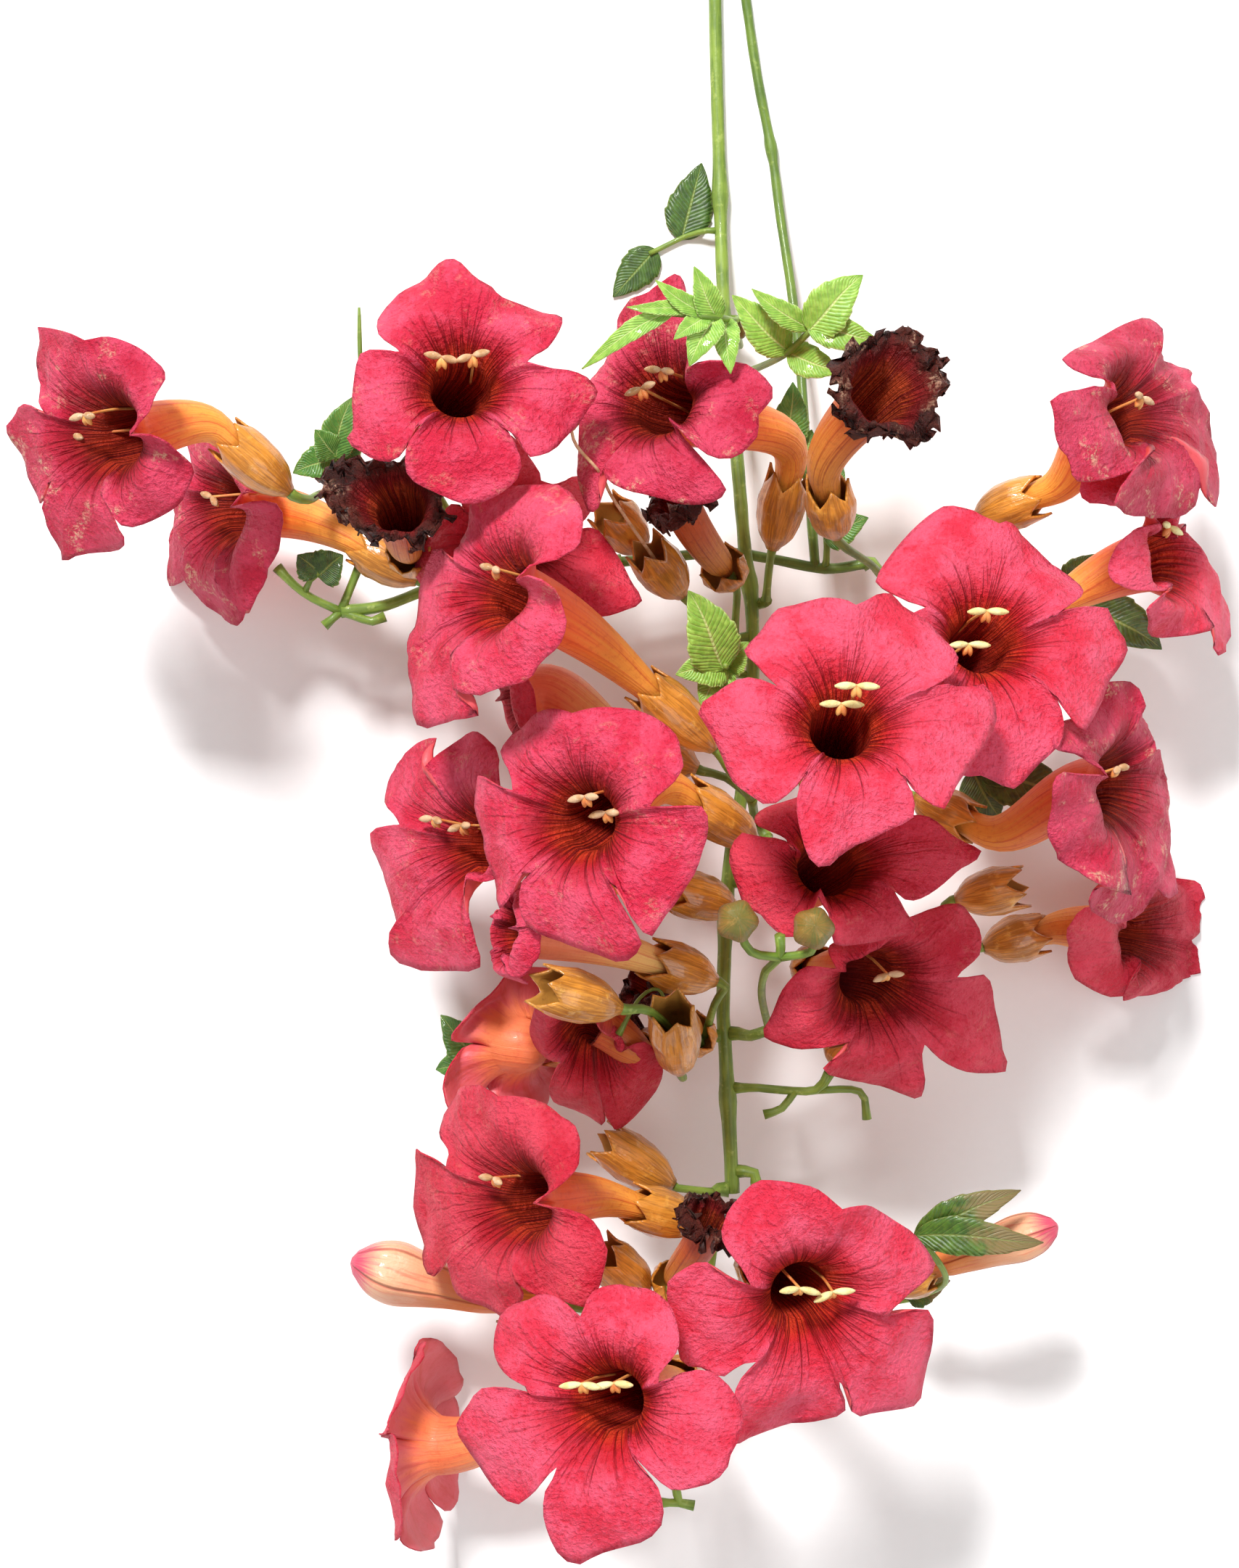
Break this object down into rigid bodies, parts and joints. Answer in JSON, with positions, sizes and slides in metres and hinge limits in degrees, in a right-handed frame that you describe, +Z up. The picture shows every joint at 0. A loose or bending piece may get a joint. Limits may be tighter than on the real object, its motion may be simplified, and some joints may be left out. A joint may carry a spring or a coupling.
{
  "type": "trumpet vine spray",
  "caption": "Cut hanging spray of trumpet vine laid on its back: two stems with flower trusses, red funnel blooms, orange calyces, buds, withered blooms and toothed leaves.",
  "frame": {"origin": "centre of the footprint, on the surface that the spray lies on", "axes": "+Y towards the cut ends of the stems, +Z up towards the open blooms, +X to the right as seen from above"},
  "size_m": [0.3102, 0.4194, 0.1356],
  "materials": {
    "petal": "soft satin",
    "withered_petal": "dry and matt",
    "bud_petal": "soft satin",
    "calyx": "leathery, slightly glossy",
    "stem": "smooth",
    "leaf": "soft, slightly glossy"
  },
  "bodies": {
    "root": {"bloom_a": "petal", "bloom_b": "petal", "bloom_c": "petal", "bloom_d": "petal", "bloom_g": "petal", "bloom_h": "petal", "bloom_i": "petal", "bloom_j": "petal", "bloom_k": "petal", "bloom_l": "petal", "bloom_m": "petal", "bloom_n": "petal", "bloom_o": "petal", "bloom_p": "petal", "bloom_q": "petal", "bloom_r": "petal", "bloom_s": "petal", "bloom_t": "petal", "bloom_u": "petal", "bloom_v": "petal", "bloom_w": "petal", "bloom_x": "petal", "bloom_y": "petal", "bloom_z": "petal", "bud_left": "bud_petal", "bud_right": "bud_petal", "leaf_behind": "leaf", "leaf_bud": "leaf", "leaf_centre": "leaf", "leaf_far_right": "leaf", "leaf_floor": "leaf", "leaf_junction": "leaf", "leaf_left": "leaf", "leaf_lower": "leaf", "leaf_right": "leaf", "leaf_top_left": "leaf", "leaf_top_right": "leaf", "stem_dark": "stem", "stem_light": "stem", "truss_end_left": "calyx", "truss_end_right": "calyx", "truss_left": "calyx", "truss_low_left": "calyx", "truss_low_right": "calyx", "truss_middle_left": "calyx", "truss_middle_right": "calyx", "truss_right": "calyx", "truss_top": "calyx", "truss_twig": "calyx", "truss_upper": "calyx", "withered_cc": "withered_petal", "withered_dd": "withered_petal", "withered_e": "withered_petal", "withered_ee": "withered_petal", "withered_f": "withered_petal"}
  },
  "joints": []
}
